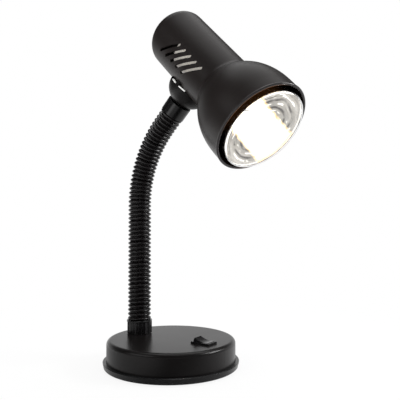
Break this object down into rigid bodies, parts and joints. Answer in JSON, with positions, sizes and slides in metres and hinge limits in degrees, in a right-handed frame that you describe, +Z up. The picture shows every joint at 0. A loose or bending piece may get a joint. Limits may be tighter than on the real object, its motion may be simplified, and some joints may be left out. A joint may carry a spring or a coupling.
{
  "type": "gooseneck table lamp",
  "caption": "Table lamp with a heavy round base and rocker switch, a flexible ribbed neck and a black metal shade holding a reflector bulb.",
  "frame": {"origin": "centre of the round base on the surface that the lamp stands on", "axes": "+Z up, +X from the neck's foot across the base to the switch"},
  "size_m": [0.2059, 0.132, 0.3455],
  "materials": {
    "cover_paint": "satin black paint",
    "shade_paint": "satin black paint",
    "black_plastic": "semi-gloss black moulding",
    "sleeve_plastic": "semi-gloss black ribbed sleeve",
    "pad_rubber": "matt soft rubber",
    "ballast_iron": "as cast",
    "zinc_steel": "zinc plated",
    "brass": "plain brass",
    "block_plastic": "white moulding",
    "holder_ceramic": "cream glaze",
    "bulb_clear": "clear",
    "bulb_silver": "silvered",
    "cap_metal": "plain",
    "tungsten": "tungsten wire"
  },
  "bodies": {
    "base": {"base_cover": "cover_paint", "base_pan": "black_plastic", "base_pad": "pad_rubber", "ballast": "ballast_iron", "pan_screws": "zinc_steel", "cord_grommet": "black_plastic", "lower_collar": "black_plastic", "lower_ferrule": "zinc_steel", "lower_washer": "zinc_steel", "lower_nut": "zinc_steel", "switch_housing": "black_plastic", "switch_terminals": "brass", "terminal_block": "block_plastic", "terminal_screws": "brass", "neck_sleeve_foot": "sleeve_plastic", "neck_core_foot": "zinc_steel"},
    "rocker": {"switch_rocker": "black_plastic"},
    "neck_01": {"neck_sleeve_01": "sleeve_plastic", "neck_core_01": "zinc_steel"},
    "neck_02": {"neck_sleeve_02": "sleeve_plastic", "neck_core_02": "zinc_steel"},
    "neck_03": {"neck_sleeve_03": "sleeve_plastic", "neck_core_03": "zinc_steel"},
    "neck_04": {"neck_sleeve_04": "sleeve_plastic", "neck_core_04": "zinc_steel"},
    "neck_05": {"neck_sleeve_05": "sleeve_plastic", "neck_core_05": "zinc_steel"},
    "neck_06": {"neck_sleeve_06": "sleeve_plastic", "neck_core_06": "zinc_steel"},
    "neck_07": {"neck_sleeve_07": "sleeve_plastic", "neck_core_07": "zinc_steel"},
    "neck_08": {"neck_sleeve_08": "sleeve_plastic", "neck_core_08": "zinc_steel"},
    "neck_09": {"neck_sleeve_09": "sleeve_plastic", "neck_core_09": "zinc_steel"},
    "neck_10": {"neck_sleeve_10": "sleeve_plastic", "neck_core_10": "zinc_steel", "upper_collar": "black_plastic", "upper_ferrule": "zinc_steel"},
    "head": {"head_nipple": "zinc_steel", "saddle": "black_plastic", "saddle_washer": "zinc_steel", "shade_washer": "zinc_steel", "head_nuts": "zinc_steel", "shade": "shade_paint", "holder_bracket": "zinc_steel", "holder_nipple": "zinc_steel", "holder_body": "holder_ceramic", "holder_shell": "brass", "holder_contact": "brass", "bulb_glass": "bulb_clear", "bulb_mirror": "bulb_silver", "bulb_cap": "cap_metal", "bulb_stem": "bulb_clear", "bulb_filament": "tungsten"}
  },
  "joints": [
    {"name": "switch_rocker", "type": "hinge", "parent": "base", "child": "rocker", "pos_m": [0.0386, 0, 0.0274], "axis": [0, 1, 0], "range_deg": [-22, 0]},
    {"name": "neck_bend_1", "type": "hinge", "parent": "base", "child": "neck_01", "pos_m": [-0.0414, 0, 0.04855], "axis": [0, 1, 0], "range_deg": [-8.8, 8.8]},
    {"name": "neck_lean_1", "type": "hinge", "parent": "neck_01", "child": "neck_02", "pos_m": [-0.0414, 0, 0.0696], "axis": [1, 0, 0], "range_deg": [-8.8, 8.8]},
    {"name": "neck_bend_2", "type": "hinge", "parent": "neck_02", "child": "neck_03", "pos_m": [-0.0414, 0, 0.09065], "axis": [0, 1, 0], "range_deg": [-8.8, 8.8]},
    {"name": "neck_lean_2", "type": "hinge", "parent": "neck_03", "child": "neck_04", "pos_m": [-0.0414, 0, 0.1117], "axis": [1, 0, 0], "range_deg": [-8.8, 8.8]},
    {"name": "neck_bend_3", "type": "hinge", "parent": "neck_04", "child": "neck_05", "pos_m": [-0.0414, 0, 0.13275], "axis": [0, 1, 0], "range_deg": [-8.8, 8.8]},
    {"name": "neck_lean_3", "type": "hinge", "parent": "neck_05", "child": "neck_06", "pos_m": [-0.0414, 0, 0.1538], "axis": [1, 0, 0], "range_deg": [-8.8, 8.8]},
    {"name": "neck_bend_4", "type": "hinge", "parent": "neck_06", "child": "neck_07", "pos_m": [-0.03982, 0, 0.17476], "axis": [0, 1, 0], "range_deg": [-8.8, 8.8]},
    {"name": "neck_lean_4", "type": "hinge", "parent": "neck_07", "child": "neck_08", "pos_m": [-0.03445, 0, 0.19509], "axis": [0.9393, 0, -0.3431], "range_deg": [-8.8, 8.8]},
    {"name": "neck_bend_5", "type": "hinge", "parent": "neck_08", "child": "neck_09", "pos_m": [-0.02546, 0, 0.21408], "axis": [0, 1, 0], "range_deg": [-8.8, 8.8]},
    {"name": "neck_lean_5", "type": "hinge", "parent": "neck_09", "child": "neck_10", "pos_m": [-0.01314, 0, 0.23112], "axis": [0.7532, 0, -0.6578], "range_deg": [-8.8, 8.8]},
    {"name": "head_swivel", "type": "hinge", "parent": "neck_10", "child": "head", "pos_m": [0.01268, 0, 0.25794], "axis": [0.6965, 0, 0.7175], "range_deg": [-82.3, 97.7]}
  ]
}
